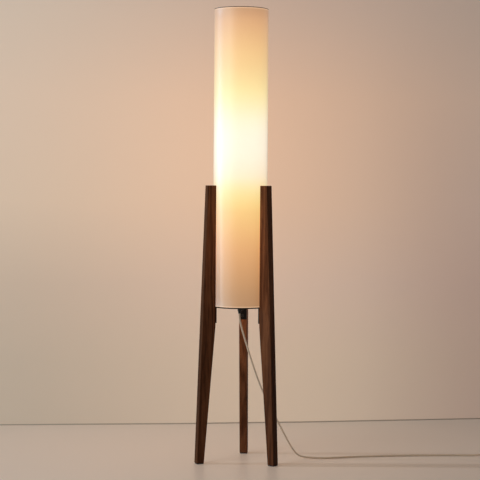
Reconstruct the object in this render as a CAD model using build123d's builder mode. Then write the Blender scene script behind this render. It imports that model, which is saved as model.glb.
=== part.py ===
from build123d import *
import math
import os

# Tripod column lamp. Millimetres, +Z up, floor at Z = 0, lamp axis on Z.
# The rear leg stands on +Y; the two front legs stand 120 degrees either side of it.

# Driving dimensions of the stand
LEG_ANGLES = {"rear": 90, "left": 210, "right": 330}
LEG_WIDTH = 22.0
LEG_TOP_Z = 770.0
LEG_KINK_Z = 381.0
LEG_INNER_R = 75.5
LEG_TOP_OUTER_R = 100.5
FOOT_INNER_R = 107.6
FOOT_OUTER_R = 129.0
LEG_EDGE_R = 2.5
LEG_END_R = 1.0
PAD_T = 3.0
PAD_INSET = 0.8

PLATE_Z = 432.0
PLATE_T = 2.5
PLATE_R = 74.4
TAB_BOTTOM_Z = 390.0
BEND_R = 4.0
RELIEF_W = 2.5
RELIEF_R = 69.0
TAB_ROOT_R = 67.0
SCREW_ROWS = (420.0, 401.0)
SCREW_R = 2.0
SCREW_DEPTH = 15.0
SCREW_HEAD_R = 4.4
SCREW_HEAD_T = 2.4
SCREW_HEAD_TAPER = 18
RECESS_L = 4.4
RECESS_W = 1.0
RECESS_DEPTH = 1.4
FIT = 0.02

# Driving dimensions of the shade
SHADE_R = 75.0
SHADE_TOP_Z = 1257.0
COVER_T = 0.7
LINER_T = 0.5
BAND_T = 0.8
BOTTOM_LIP_T = 0.8
TOP_LIP_T = 1.8
LIP_EDGE_R = 0.35
RING_BAND_H = 16.0

# Driving dimensions of the stem and the lampholder
STEM_R = 5.0
STEM_BORE_R = 3.8
CORD_R = 2.5
GRIP_BOTTOM_Z = 413.5
GRIP_R = 5.6
HOLDER_Z = 802.0
BULB_CENTRE_Z = 908.0
BULB_R = 30.0
GLASS_T = 1.0

# Places of what lies on the floor at the cord's far end
SWITCH_CENTRE = (765.0, 184.0)
SWITCH_HEADING = 5.0
SWITCH_AXIS_Z = 6.0
COIL_CENTRE = (852.0, 120.0)
COIL_MID_R = 27.5
COIL_PITCH = 5.2
COIL_LAYER_TURNS = 3
COIL_BOTTOM_Z = 1.0
PLUG_START = (886.6, 77.0)
PLUG_HEADING = 268.5
PLUG_AXIS_Z = 9.5

PLATE_TOP_Z = PLATE_Z + PLATE_T

os.makedirs("parts", exist_ok=True)


def save(builder, name):
    builder.part.label = name
    export_step(builder.part, f"parts/{name}.step")


def heading(angle):
    return math.cos(math.radians(angle)), math.sin(math.radians(angle))


def radial_plane(angle):
    """Upright plane through the lamp axis: local x runs outward, local y runs up."""
    c, s = heading(angle)
    return Plane(origin=(0, 0, 0), x_dir=(c, s, 0), z_dir=(s, -c, 0))


def facing_plane(angle, radius, z):
    """Upright plane facing outward at a radius: local x is tangential, local y runs up."""
    c, s = heading(angle)
    return Plane(origin=(radius * c, radius * s, z), x_dir=(-s, c, 0), z_dir=(c, s, 0))


def floor_plane(centre, angle):
    """Level plane on the floor whose local x runs along a heading."""
    c, s = heading(angle)
    return Plane(origin=(*centre, 0), x_dir=(c, s, 0), z_dir=(0, 0, 1))


# ---------------------------------------------------------------- legs and feet
LEG_OUTLINE = [
    (FOOT_INNER_R, PAD_T),
    (FOOT_OUTER_R, PAD_T),
    (LEG_TOP_OUTER_R, LEG_TOP_Z),
    (LEG_INNER_R, LEG_TOP_Z),
    (LEG_INNER_R, LEG_KINK_Z),
]

for side, angle in LEG_ANGLES.items():
    upright = radial_plane(angle)
    with BuildPart() as leg:
        with BuildSketch(upright):
            Polygon(*LEG_OUTLINE, align=None)
        extrude(amount=LEG_WIDTH / 2, both=True)
        across = leg.edges().filter_by(Axis(upright.origin, upright.z_dir))
        fillet(leg.edges() - across - leg.faces().sort_by(Axis.Z)[0].edges()
               - leg.faces().sort_by(Axis.Z)[-1].edges(), radius=LEG_EDGE_R)
        fillet(leg.faces().sort_by(Axis.Z)[-1].edges(), radius=LEG_END_R)
        for row in SCREW_ROWS:
            with BuildSketch(facing_plane(angle, LEG_INNER_R, row)):
                Circle(SCREW_R + FIT)
            extrude(amount=SCREW_DEPTH, mode=Mode.SUBTRACT)
    save(leg, f"leg_{side}")

    foot_mid = (FOOT_INNER_R + FOOT_OUTER_R) / 2
    c, s = heading(angle)
    with BuildPart() as pad:
        with BuildSketch(floor_plane((foot_mid * c, foot_mid * s), angle)):
            RectangleRounded(FOOT_OUTER_R - FOOT_INNER_R - 2 * PAD_INSET,
                             LEG_WIDTH - 2 * PAD_INSET, LEG_EDGE_R)
        extrude(amount=PAD_T)
        fillet(pad.faces().sort_by(Axis.Z)[0].edges(), radius=LEG_END_R / 2)
    save(pad, f"foot_pad_{side}")


# ---------------------------------------------------------------- base plate and its screws
FLANGE_R = 20.0
FLANGE_T = 4.0
FLANGE_EDGE_R = 0.8
FLANGE_SCREW_PCD_R = 14.0
FLANGE_SCREW_R = 2.0
FLANGE_HEAD_R = 3.5
FLANGE_HEAD_T = 2.6
FLANGE_SOCKET_R = 1.7
FLANGE_SOCKET_DEPTH = 1.3

with BuildPart() as base_plate:
    with BuildSketch(Plane.XY.offset(PLATE_Z)):
        Circle(PLATE_R)
        Circle(STEM_R + FIT, mode=Mode.SUBTRACT)
        with PolarLocations(FLANGE_SCREW_PCD_R, 3, start_angle=30):
            Circle(FLANGE_SCREW_R + FIT, mode=Mode.SUBTRACT)
        with PolarLocations(RELIEF_R + PLATE_R / 2, 3, start_angle=90):
            Rectangle(PLATE_R, LEG_WIDTH + 2 * RELIEF_W, mode=Mode.SUBTRACT)
    extrude(amount=PLATE_T)
    for angle in LEG_ANGLES.values():
        with BuildSketch(radial_plane(angle)):
            with BuildLine():
                outer = FilletPolyline(
                    (TAB_ROOT_R, PLATE_TOP_Z), (LEG_INNER_R, PLATE_TOP_Z),
                    (LEG_INNER_R, TAB_BOTTOM_Z), radius=BEND_R)
                inner = FilletPolyline(
                    (LEG_INNER_R - PLATE_T, TAB_BOTTOM_Z), (LEG_INNER_R - PLATE_T, PLATE_Z),
                    (TAB_ROOT_R, PLATE_Z), radius=BEND_R - PLATE_T)
                Line(outer @ 1, inner @ 0)
                Line(inner @ 1, outer @ 0)
            make_face()
        extrude(amount=LEG_WIDTH / 2, both=True)
        for row in SCREW_ROWS:
            with BuildSketch(facing_plane(angle, LEG_INNER_R - 2 * PLATE_T, row)):
                Circle(SCREW_R + FIT)
            extrude(amount=2 * PLATE_T, mode=Mode.SUBTRACT)
save(base_plate, "base_plate")

with BuildPart() as leg_screws:
    for angle in LEG_ANGLES.values():
        for row in SCREW_ROWS:
            with BuildSketch(facing_plane(angle, LEG_INNER_R - PLATE_T, row)):
                Circle(SCREW_R)
            extrude(amount=PLATE_T + SCREW_DEPTH - 1)
            with BuildSketch(facing_plane(angle, LEG_INNER_R - PLATE_T, row)):
                Circle(SCREW_HEAD_R)
            extrude(amount=-SCREW_HEAD_T, taper=SCREW_HEAD_TAPER)
            with BuildSketch(facing_plane(angle, LEG_INNER_R - PLATE_T - SCREW_HEAD_T, row)):
                Rectangle(RECESS_L, RECESS_W)
                Rectangle(RECESS_W, RECESS_L)
            extrude(amount=RECESS_DEPTH, mode=Mode.SUBTRACT)
save(leg_screws, "leg_screws")

LOCATOR_GAP = 0.5
LOCATOR_R = SHADE_R - COVER_T - LINER_T - BAND_T - LOCATOR_GAP
LOCATOR_WALL = 1.2
LOCATOR_H = 10.0
LOCATOR_EDGE_R = 0.4

with BuildPart() as shade_locator:
    with BuildSketch(Plane.XY.offset(PLATE_TOP_Z)):
        Circle(LOCATOR_R)
        Circle(LOCATOR_R - LOCATOR_WALL, mode=Mode.SUBTRACT)
    extrude(amount=LOCATOR_H)
    fillet(shade_locator.faces().sort_by(Axis.Z)[-1].edges(), radius=LOCATOR_EDGE_R)
save(shade_locator, "shade_locator")


# ---------------------------------------------------------------- stem, flange and cord grip
BOSS_R = 9.0
BOSS_TOP_Z = PLATE_TOP_Z + 15.0
STEM_FOOT_Z = PLATE_TOP_Z + 6.0
STEM_HEAD_Z = HOLDER_Z + 9.0
STEM_CHAMFER = 0.5
NUT_T = 5.0
NUT_FLAT_R = 7.0
NUT_CHAMFER = 0.4
GRIP_WALL = 1.2
GRIP_TAPER_H = 7.0
GRIP_SHOULDER = 0.9
GRIP_TUBE_TOP_Z = STEM_FOOT_Z - 0.5
GRIP_RING_ZS = (2.0, 4.4)
GRIP_RING_W = 0.9

with BuildPart() as stem_flange:
    with BuildSketch(Plane.XY.offset(PLATE_TOP_Z)):
        Circle(FLANGE_R)
    extrude(amount=FLANGE_T)
    with BuildSketch(Plane.XY.offset(PLATE_TOP_Z)):
        Circle(BOSS_R)
    extrude(amount=BOSS_TOP_Z - PLATE_TOP_Z)
    fillet(stem_flange.edges().filter_by(GeomType.CIRCLE).group_by(Axis.Z)[1],
           radius=FLANGE_EDGE_R)
    with BuildSketch(Plane.XY.offset(PLATE_TOP_Z)):
        Circle(STEM_R + FIT)
        with PolarLocations(FLANGE_SCREW_PCD_R, 3, start_angle=30):
            Circle(FLANGE_SCREW_R + FIT)
    extrude(amount=BOSS_TOP_Z - PLATE_TOP_Z, mode=Mode.SUBTRACT)
save(stem_flange, "stem_flange")

with BuildPart() as flange_screws:
    with BuildSketch(Plane.XY.offset(PLATE_Z)):
        with PolarLocations(FLANGE_SCREW_PCD_R, 3, start_angle=30):
            Circle(FLANGE_SCREW_R)
    extrude(amount=PLATE_T + FLANGE_T)
    with BuildSketch(Plane.XY.offset(PLATE_TOP_Z + FLANGE_T)):
        with PolarLocations(FLANGE_SCREW_PCD_R, 3, start_angle=30):
            Circle(FLANGE_HEAD_R)
    extrude(amount=FLANGE_HEAD_T)
    with BuildSketch(Plane.XY.offset(PLATE_TOP_Z + FLANGE_T + FLANGE_HEAD_T)):
        with PolarLocations(FLANGE_SCREW_PCD_R, 3, start_angle=30):
            RegularPolygon(FLANGE_SOCKET_R, 6)
    extrude(amount=-FLANGE_SOCKET_DEPTH, mode=Mode.SUBTRACT)
save(flange_screws, "flange_screws")

with BuildPart() as stem:
    with BuildSketch(Plane.XY.offset(STEM_FOOT_Z)):
        Circle(STEM_R)
        Circle(STEM_BORE_R, mode=Mode.SUBTRACT)
    extrude(amount=STEM_HEAD_Z - STEM_FOOT_Z)
    chamfer(stem.edges().filter_by(GeomType.CIRCLE).group_by(SortBy.RADIUS)[-1],
            length=STEM_CHAMFER)
save(stem, "stem")

for place, nut_z in (("lower", BOSS_TOP_Z), ("upper", HOLDER_Z - NUT_T)):
    with BuildPart() as nut:
        with BuildSketch(Plane.XY.offset(nut_z)):
            RegularPolygon(NUT_FLAT_R, 6, major_radius=False)
            Circle(STEM_R + FIT, mode=Mode.SUBTRACT)
        extrude(amount=NUT_T)
        chamfer(nut.faces().sort_by(Axis.Z)[-1].edges().filter_by(GeomType.CIRCLE),
                length=NUT_CHAMFER)
    save(nut, f"stem_nut_{place}")

with BuildPart() as cord_grip:
    with BuildSketch(Plane.XZ):
        with BuildLine():
            Polyline(
                (CORD_R + FIT, GRIP_BOTTOM_Z), (CORD_R + GRIP_WALL, GRIP_BOTTOM_Z),
                (GRIP_R - GRIP_SHOULDER, GRIP_BOTTOM_Z + GRIP_TAPER_H),
                (GRIP_R, GRIP_BOTTOM_Z + GRIP_TAPER_H + GRIP_SHOULDER),
                (GRIP_R, PLATE_Z), (STEM_R, PLATE_Z), (STEM_R, GRIP_TUBE_TOP_Z),
                (CORD_R + FIT, GRIP_TUBE_TOP_Z), close=True)
        make_face()
    revolve(axis=Axis.Z)
    for ring_z in GRIP_RING_ZS:
        with BuildSketch(Plane.XY.offset(GRIP_BOTTOM_Z + ring_z)):
            Circle(GRIP_R)
            Circle(CORD_R + GRIP_RING_W, mode=Mode.SUBTRACT)
        extrude(amount=GRIP_RING_W, mode=Mode.SUBTRACT)
save(cord_grip, "cord_grip")

HOLDER_CORE_Z = HOLDER_Z + 15.0

with BuildPart() as stem_cable:
    with BuildSketch(Plane.XY.offset(GRIP_BOTTOM_Z)):
        Circle(CORD_R)
    extrude(amount=HOLDER_CORE_Z - GRIP_BOTTOM_Z)
save(stem_cable, "stem_cable")


# ---------------------------------------------------------------- lampholder
HOLDER_R = 19.5
HOLDER_WALL = 1.8
HOLDER_SPLIT_Z = HOLDER_Z + 18.0
HOLDER_TOP_Z = HOLDER_Z + 60.0
COLLAR_R = 8.5
COLLAR_H = 6.0
DOME_IN_R = 7.5
DOME_FLOOR_Z = HOLDER_Z + 8.5
DOME_CURVE_R = 13.0
DOME_IN_CURVE_R = 12.0
HOLDER_MOUTH_R = 15.2
HOLDER_LIP_T = 2.0
HOLDER_EDGE_R = 0.6
GROOVE_COUNT = 5
GROOVE_PITCH = 3.0
GROOVE_W = 1.2
GROOVE_DEPTH = 0.5
GROOVE_TOP_Z = HOLDER_TOP_Z - 8.0
CORE_TOP_Z = HOLDER_Z + 28.0
CORE_FOOT_R = 10.0
CORE_GAP = 0.2
CORE_SEAT_Z = HOLDER_SPLIT_Z + 1.0
CONTACT_POCKET = (14.0, 7.0, 1.5)
CAP_R = 13.0
SHELL_R = CAP_R + 0.3
SHELL_WALL = 0.5
SHELL_FLOOR_T = 0.6
SHELL_HOLE_R = 7.0
SHELL_H = 26.0
CONTACT_W = 2.4
TERMINAL_X = 6.5
TERMINAL_R = 2.2
TERMINAL_T = 1.8
SLOT_W = 0.7
SLOT_DEPTH = 0.9

with BuildPart() as holder_cap:
    with BuildSketch(Plane.XZ):
        with BuildLine():
            Polyline((HOLDER_R - HOLDER_WALL, HOLDER_SPLIT_Z), (HOLDER_R, HOLDER_SPLIT_Z))
            RadiusArc((HOLDER_R, HOLDER_SPLIT_Z), (COLLAR_R, HOLDER_Z + COLLAR_H), DOME_CURVE_R)
            Polyline((COLLAR_R, HOLDER_Z + COLLAR_H), (COLLAR_R, HOLDER_Z),
                     (STEM_R + FIT, HOLDER_Z), (STEM_R + FIT, DOME_FLOOR_Z),
                     (DOME_IN_R, DOME_FLOOR_Z))
            RadiusArc((DOME_IN_R, DOME_FLOOR_Z), (HOLDER_R - HOLDER_WALL, HOLDER_SPLIT_Z),
                      -DOME_IN_CURVE_R)
        make_face()
    revolve(axis=Axis.Z)
save(holder_cap, "holder_cap")

with BuildPart() as holder_shell:
    with BuildSketch(Plane.XY.offset(HOLDER_SPLIT_Z)):
        Circle(HOLDER_R)
        Circle(HOLDER_R - HOLDER_WALL, mode=Mode.SUBTRACT)
    extrude(amount=HOLDER_TOP_Z - HOLDER_SPLIT_Z)
    with BuildSketch(Plane.XY.offset(HOLDER_TOP_Z)):
        Circle(HOLDER_R)
        Circle(HOLDER_MOUTH_R, mode=Mode.SUBTRACT)
    extrude(amount=-HOLDER_LIP_T)
    for groove in range(GROOVE_COUNT):
        with BuildSketch(Plane.XY.offset(GROOVE_TOP_Z - GROOVE_PITCH * groove)):
            Circle(HOLDER_R)
            Circle(HOLDER_R - GROOVE_DEPTH, mode=Mode.SUBTRACT)
        extrude(amount=GROOVE_W, mode=Mode.SUBTRACT)
    fillet(holder_shell.faces().sort_by(Axis.Z)[-1].edges(), radius=HOLDER_EDGE_R)
save(holder_shell, "holder_shell")

with BuildPart() as holder_core:
    with BuildSketch(Plane.XY.offset(HOLDER_CORE_Z)):
        Circle(CORE_FOOT_R)
    extrude(amount=CORE_TOP_Z - HOLDER_CORE_Z)
    with BuildSketch(Plane.XY.offset(CORE_SEAT_Z)):
        Circle(HOLDER_R - HOLDER_WALL - CORE_GAP)
    extrude(amount=CORE_TOP_Z - CORE_SEAT_Z)
    with BuildSketch(Plane.XY.offset(CORE_TOP_Z)):
        Rectangle(CONTACT_POCKET[0], CONTACT_POCKET[1])
    extrude(amount=-CONTACT_POCKET[2], mode=Mode.SUBTRACT)
save(holder_core, "holder_core")

with BuildPart() as screw_shell:
    with BuildSketch(Plane.XZ):
        with BuildLine():
            Polyline(
                (SHELL_HOLE_R, CORE_TOP_Z), (SHELL_R + SHELL_WALL, CORE_TOP_Z),
                (SHELL_R + SHELL_WALL, CORE_TOP_Z + SHELL_H), (SHELL_R, CORE_TOP_Z + SHELL_H),
                (SHELL_R, CORE_TOP_Z + SHELL_FLOOR_T), (SHELL_HOLE_R, CORE_TOP_Z + SHELL_FLOOR_T),
                close=True)
        make_face()
    revolve(axis=Axis.Z)
save(screw_shell, "screw_shell")

CONTACT_Z = CORE_TOP_Z + 4.0
CONTACT_FOOT_Z = CORE_TOP_Z - CONTACT_POCKET[2]
CONTACT_T = 0.6
# The folded brass tongue's side view: a flat foot and a blade that springs up from one end
CONTACT_OUTLINE = [
    (-6.2, CONTACT_FOOT_Z), (5.0, CONTACT_FOOT_Z), (5.0, CONTACT_FOOT_Z + CONTACT_T),
    (-5.2, CONTACT_FOOT_Z + CONTACT_T), (3.0, CONTACT_Z - 0.2), (2.8, CONTACT_Z),
    (-6.2, CONTACT_FOOT_Z + 1.0),
]

with BuildPart() as centre_contact:
    with BuildSketch(Plane.XZ):
        Polygon(*CONTACT_OUTLINE, align=None)
    extrude(amount=CONTACT_W, both=True)
save(centre_contact, "centre_contact")

with BuildPart() as holder_terminals:
    with BuildSketch(Plane.XY.offset(HOLDER_CORE_Z)):
        with Locations((-TERMINAL_X, 0), (TERMINAL_X, 0)):
            Circle(TERMINAL_R)
    extrude(amount=-TERMINAL_T)
    with BuildSketch(Plane.XY.offset(HOLDER_CORE_Z - TERMINAL_T)):
        with Locations((-TERMINAL_X, 0), (TERMINAL_X, 0)):
            Rectangle(SLOT_W, 2 * TERMINAL_R)
    extrude(amount=SLOT_DEPTH, mode=Mode.SUBTRACT)
save(holder_terminals, "holder_terminals")


# ---------------------------------------------------------------- bulb
BULB_TIP_Z = CONTACT_Z + 0.1
BULB_CAP_Z = BULB_TIP_Z + 3.0
BULB_CAP_TOP_Z = BULB_CAP_Z + 23.0
CAP_WALL = 1.6
CAP_FLOOR_T = 1.0
CAP_CHAMFER = 1.4
NECK_R = 13.8
NECK_TOP_Z = BULB_CENTRE_Z - 42.0
THREAD_TURNS = 5
THREAD_PITCH = 3.6
THREAD_DEPTH = 0.7
THREAD_START = 3.0
INSULATOR_R = 10.8
INSULATOR_T = 1.8
INSULATOR_TAPER = 40
TIP_R = 3.6
TIP_TAPER = 20

drop = BULB_CENTRE_Z - NECK_TOP_Z
SHOULDER_R = (NECK_R**2 + drop**2 - BULB_R**2) / (2 * (BULB_R - NECK_R))

with BuildPart() as bulb_glass:
    for inset, mode in ((0, Mode.ADD), (GLASS_T, Mode.SUBTRACT)):
        reach = math.hypot(NECK_R + SHOULDER_R, drop)
        blend = (BULB_R - inset) / reach
        blend_r = blend * (NECK_R + SHOULDER_R)
        blend_z = BULB_CENTRE_Z - blend * drop
        neck = NECK_R - inset
        with BuildSketch(Plane.XZ):
            with BuildLine():
                Line((0, BULB_CAP_TOP_Z), (neck, BULB_CAP_TOP_Z))
                Line((neck, BULB_CAP_TOP_Z), (neck, NECK_TOP_Z))
                RadiusArc((neck, NECK_TOP_Z), (blend_r, blend_z), -(SHOULDER_R + inset))
                ThreePointArc(
                    (blend_r, blend_z), (BULB_R - inset, BULB_CENTRE_Z),
                    (0, BULB_CENTRE_Z + BULB_R - inset))
                Line((0, BULB_CENTRE_Z + BULB_R - inset), (0, BULB_CAP_TOP_Z))
            make_face()
        revolve(axis=Axis.Z, mode=mode)
save(bulb_glass, "bulb_glass")

with BuildPart() as bulb_cap:
    with BuildSketch(Plane.XY.offset(BULB_CAP_Z)):
        Circle(CAP_R)
    extrude(amount=BULB_CAP_TOP_Z - BULB_CAP_Z)
    for turn in range(THREAD_TURNS):
        with BuildSketch(Plane.XZ):
            with Locations((CAP_R, BULB_CAP_Z + THREAD_START + THREAD_PITCH * turn)):
                Polygon((0.1, -1.3), (0.1, 1.3), (-THREAD_DEPTH, 0.5), (-THREAD_DEPTH, -0.5))
        revolve(axis=Axis.Z, mode=Mode.SUBTRACT)
    chamfer(bulb_cap.faces().sort_by(Axis.Z)[0].edges(), length=CAP_CHAMFER)
    with BuildSketch(Plane.XY.offset(BULB_CAP_Z + CAP_FLOOR_T)):
        Circle(CAP_R - CAP_WALL)
    extrude(amount=BULB_CAP_TOP_Z - BULB_CAP_Z, mode=Mode.SUBTRACT)
save(bulb_cap, "bulb_cap")

with BuildPart() as bulb_insulator:
    with BuildSketch(Plane.XY.offset(BULB_CAP_Z)):
        Circle(INSULATOR_R)
    extrude(amount=-INSULATOR_T, taper=INSULATOR_TAPER)
save(bulb_insulator, "bulb_insulator")

with BuildPart() as bulb_contact:
    with BuildSketch(Plane.XY.offset(BULB_CAP_Z - INSULATOR_T)):
        Circle(TIP_R)
    extrude(amount=BULB_TIP_Z - BULB_CAP_Z + INSULATOR_T, taper=TIP_TAPER)
save(bulb_contact, "bulb_contact")

DRIVER_R = 9.0
DRIVER_TOP_Z = BULB_CAP_TOP_Z + 5.0
LED_POST_R = 5.0
LED_POST_TOP_Z = BULB_CENTRE_Z + 6.0
LED_SIDES = 4
LED_W = 3.6
LED_L = 32.0
LED_T = 1.0
LED_MID_Z = BULB_CENTRE_Z - 12.0

with BuildPart() as led_post:
    with BuildSketch(Plane.XY.offset(BULB_CAP_Z + CAP_FLOOR_T)):
        Circle(DRIVER_R)
    extrude(amount=DRIVER_TOP_Z - BULB_CAP_Z - CAP_FLOOR_T)
    with BuildSketch(Plane.XY.offset(DRIVER_TOP_Z)):
        RegularPolygon(LED_POST_R, LED_SIDES, rotation=45)
    extrude(amount=LED_POST_TOP_Z - DRIVER_TOP_Z)
save(led_post, "led_post")

with BuildPart() as led_strips:
    for face in range(LED_SIDES):
        with BuildSketch(facing_plane(face * 360 / LED_SIDES,
                                      LED_POST_R * math.cos(math.pi / LED_SIDES), LED_MID_Z)):
            Rectangle(LED_W, LED_L)
        extrude(amount=LED_T)
save(led_strips, "led_strips")


# ---------------------------------------------------------------- shade
COVER_BOTTOM_Z = PLATE_TOP_Z + BOTTOM_LIP_T
COVER_TOP_Z = SHADE_TOP_Z - TOP_LIP_T
LINER_R = SHADE_R - COVER_T
BAND_R = LINER_R - LINER_T

for name, outer_r, wall in (("shade_cover", SHADE_R, COVER_T), ("shade_liner", LINER_R, LINER_T)):
    with BuildPart() as sleeve:
        with BuildSketch(Plane.XY.offset(COVER_BOTTOM_Z)):
            Circle(outer_r)
            Circle(outer_r - wall, mode=Mode.SUBTRACT)
        extrude(amount=COVER_TOP_Z - COVER_BOTTOM_Z)
    save(sleeve, name)

for place, lip_z, lip_t, inward in (("bottom", PLATE_TOP_Z, BOTTOM_LIP_T, 1),
                                    ("top", SHADE_TOP_Z, TOP_LIP_T, -1)):
    with BuildPart() as ring:
        with BuildSketch(Plane.XY.offset(lip_z)):
            Circle(SHADE_R)
            Circle(BAND_R - BAND_T, mode=Mode.SUBTRACT)
        extrude(amount=inward * lip_t)
        with BuildSketch(Plane.XY.offset(lip_z)):
            Circle(BAND_R)
            Circle(BAND_R - BAND_T, mode=Mode.SUBTRACT)
        extrude(amount=inward * RING_BAND_H)
        rim = ring.faces().filter_by(Axis.Z).group_by(Axis.Z)[0 if inward > 0 else -1]
        fillet(rim.edges().sort_by(SortBy.RADIUS)[-1], radius=LIP_EDGE_R)
    save(ring, f"shade_ring_{place}")


# ---------------------------------------------------------------- foot switch on the cord
SWITCH_L = 78.0
SWITCH_W = 38.0
SWITCH_SPLIT_Z = 11.0
SWITCH_TOP_Z = 22.0
SWITCH_WALL = 2.0
SWITCH_CORNER_R = SWITCH_W / 2 - 1.0
SWITCH_FOOT_EDGE_R = 1.5
SWITCH_TOP_EDGE_R = 5.0
SWITCH_COVER_WALL = 5.0
SWITCH_SCREW_SPACING = SWITCH_L - 20.0
SWITCH_PILLAR_R = 3.4
SWITCH_SCREW_HOLE_R = 1.6
SWITCH_SCREW_R = 1.58
SWITCH_SCREW_Z = 1.2
BUTTON_R = 9.0
BUTTON_GAP = 0.35
BUTTON_FLANGE_R = 11.0
BUTTON_FLANGE_T = 2.0
BUTTON_HOLLOW_R = 7.0
BUTTON_HOLLOW_H = 4.0
BUTTON_EDGE_R = 1.6
BUTTON_TOP_Z = SWITCH_TOP_Z + 4.0
BUTTON_FLANGE_Z = SWITCH_TOP_Z - SWITCH_WALL - 2.3
BLOCK_TOP_Z = 9.5
BLOCK_SIZE = (26.0, 18.0, 2.0)
PLUNGER_R = 3.0
PLUNGER_H = 1.5
SPRING_R = 5.6
SPRING_WALL = 0.8
SWITCH_TERMINAL_SPACING = 32.0
SWITCH_TERMINAL_W = 6.0
SWITCH_TERMINAL_H = 4.5
SWITCH_TERMINAL_Z = SWITCH_WALL + 3.0
TERMINAL_SCREW_R = 1.8
TERMINAL_SCREW_H = 1.2
SLEEVE_L = 18.0
SLEEVE_R = 5.0
SLEEVE_TAPER = 4.5

on_switch = floor_plane(SWITCH_CENTRE, SWITCH_HEADING)

with BuildPart() as switch_base:
    with BuildSketch(on_switch):
        RectangleRounded(SWITCH_L, SWITCH_W, SWITCH_CORNER_R)
    extrude(amount=SWITCH_SPLIT_Z)
    fillet(switch_base.faces().sort_by(Axis.Z)[0].edges(), radius=SWITCH_FOOT_EDGE_R)
    with BuildSketch(on_switch.offset(SWITCH_WALL)):
        RectangleRounded(SWITCH_L - 2 * SWITCH_WALL, SWITCH_W - 2 * SWITCH_WALL,
                         SWITCH_CORNER_R - SWITCH_WALL)
    extrude(amount=SWITCH_SPLIT_Z, mode=Mode.SUBTRACT)
    with BuildSketch(on_switch.offset(SWITCH_WALL)):
        with GridLocations(SWITCH_SCREW_SPACING, 0, 2, 1):
            Circle(SWITCH_PILLAR_R)
    extrude(amount=SWITCH_SPLIT_Z - SWITCH_WALL)
    with BuildSketch(on_switch):
        with GridLocations(SWITCH_SCREW_SPACING, 0, 2, 1):
            Circle(SWITCH_SCREW_HOLE_R)
    extrude(amount=SWITCH_SPLIT_Z, mode=Mode.SUBTRACT)
save(switch_base, "switch_base")

with BuildPart() as switch_cover:
    with BuildSketch(on_switch.offset(SWITCH_SPLIT_Z)):
        RectangleRounded(SWITCH_L, SWITCH_W, SWITCH_CORNER_R)
    extrude(amount=SWITCH_TOP_Z - SWITCH_SPLIT_Z)
    fillet(switch_cover.faces().sort_by(Axis.Z)[-1].edges(), radius=SWITCH_TOP_EDGE_R)
    with BuildSketch(on_switch.offset(SWITCH_SPLIT_Z)):
        RectangleRounded(SWITCH_L - 2 * SWITCH_COVER_WALL, SWITCH_W - 2 * SWITCH_COVER_WALL,
                         SWITCH_CORNER_R - SWITCH_COVER_WALL)
    extrude(amount=SWITCH_TOP_Z - SWITCH_SPLIT_Z - SWITCH_WALL, mode=Mode.SUBTRACT)
    with BuildSketch(on_switch.offset(SWITCH_SPLIT_Z)):
        Circle(BUTTON_R + BUTTON_GAP)
    extrude(amount=SWITCH_TOP_Z, mode=Mode.SUBTRACT)
save(switch_cover, "switch_cover")

with BuildPart() as switch_sleeves:
    for end in (0, 180):
        c, s = heading(SWITCH_HEADING + end)
        wall_point = (SWITCH_CENTRE[0] + SWITCH_L / 2 * c, SWITCH_CENTRE[1] + SWITCH_L / 2 * s,
                      SWITCH_AXIS_Z)
        with BuildSketch(Plane(origin=wall_point, x_dir=(-s, c, 0), z_dir=(c, s, 0))):
            Circle(SLEEVE_R)
        extrude(amount=SLEEVE_L, taper=SLEEVE_TAPER)
save(switch_sleeves, "switch_sleeves")

with BuildPart() as switch_button:
    with BuildSketch(on_switch.offset(BUTTON_FLANGE_Z)):
        Circle(BUTTON_FLANGE_R)
    extrude(amount=BUTTON_FLANGE_T)
    with BuildSketch(on_switch.offset(BUTTON_FLANGE_Z)):
        Circle(BUTTON_R)
    extrude(amount=BUTTON_TOP_Z - BUTTON_FLANGE_Z)
    fillet(switch_button.faces().sort_by(Axis.Z)[-1].edges(), radius=BUTTON_EDGE_R)
    with BuildSketch(on_switch.offset(BUTTON_FLANGE_Z)):
        Circle(BUTTON_HOLLOW_R)
    extrude(amount=BUTTON_HOLLOW_H, mode=Mode.SUBTRACT)
save(switch_button, "switch_button")

with BuildPart() as switch_block:
    with BuildSketch(on_switch.offset(SWITCH_WALL)):
        RectangleRounded(*BLOCK_SIZE)
    extrude(amount=BLOCK_TOP_Z - SWITCH_WALL)
    with BuildSketch(on_switch.offset(BLOCK_TOP_Z)):
        Circle(PLUNGER_R)
    extrude(amount=PLUNGER_H)
save(switch_block, "switch_block")

with BuildPart() as switch_spring:
    with BuildSketch(on_switch.offset(BLOCK_TOP_Z)):
        Circle(SPRING_R)
        Circle(SPRING_R - SPRING_WALL, mode=Mode.SUBTRACT)
    extrude(amount=BUTTON_FLANGE_Z + BUTTON_HOLLOW_H - BLOCK_TOP_Z)
save(switch_spring, "switch_spring")

with BuildPart() as switch_terminals:
    with BuildSketch(on_switch.offset(SWITCH_TERMINAL_Z)):
        with GridLocations(SWITCH_TERMINAL_SPACING, 0, 2, 1):
            Rectangle(SWITCH_TERMINAL_W, SWITCH_TERMINAL_W)
    extrude(amount=SWITCH_TERMINAL_H)
    with BuildSketch(on_switch.offset(SWITCH_TERMINAL_Z + SWITCH_TERMINAL_H)):
        with GridLocations(SWITCH_TERMINAL_SPACING, 0, 2, 1):
            Circle(TERMINAL_SCREW_R)
    extrude(amount=TERMINAL_SCREW_H)
save(switch_terminals, "switch_terminals")

with BuildPart() as switch_screws:
    with BuildSketch(on_switch.offset(SWITCH_SCREW_Z)):
        with GridLocations(SWITCH_SCREW_SPACING, 0, 2, 1):
            Circle(SWITCH_SCREW_R)
    extrude(amount=SWITCH_SPLIT_Z - SWITCH_SCREW_Z - 0.2)
save(switch_screws, "switch_screws")


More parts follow.
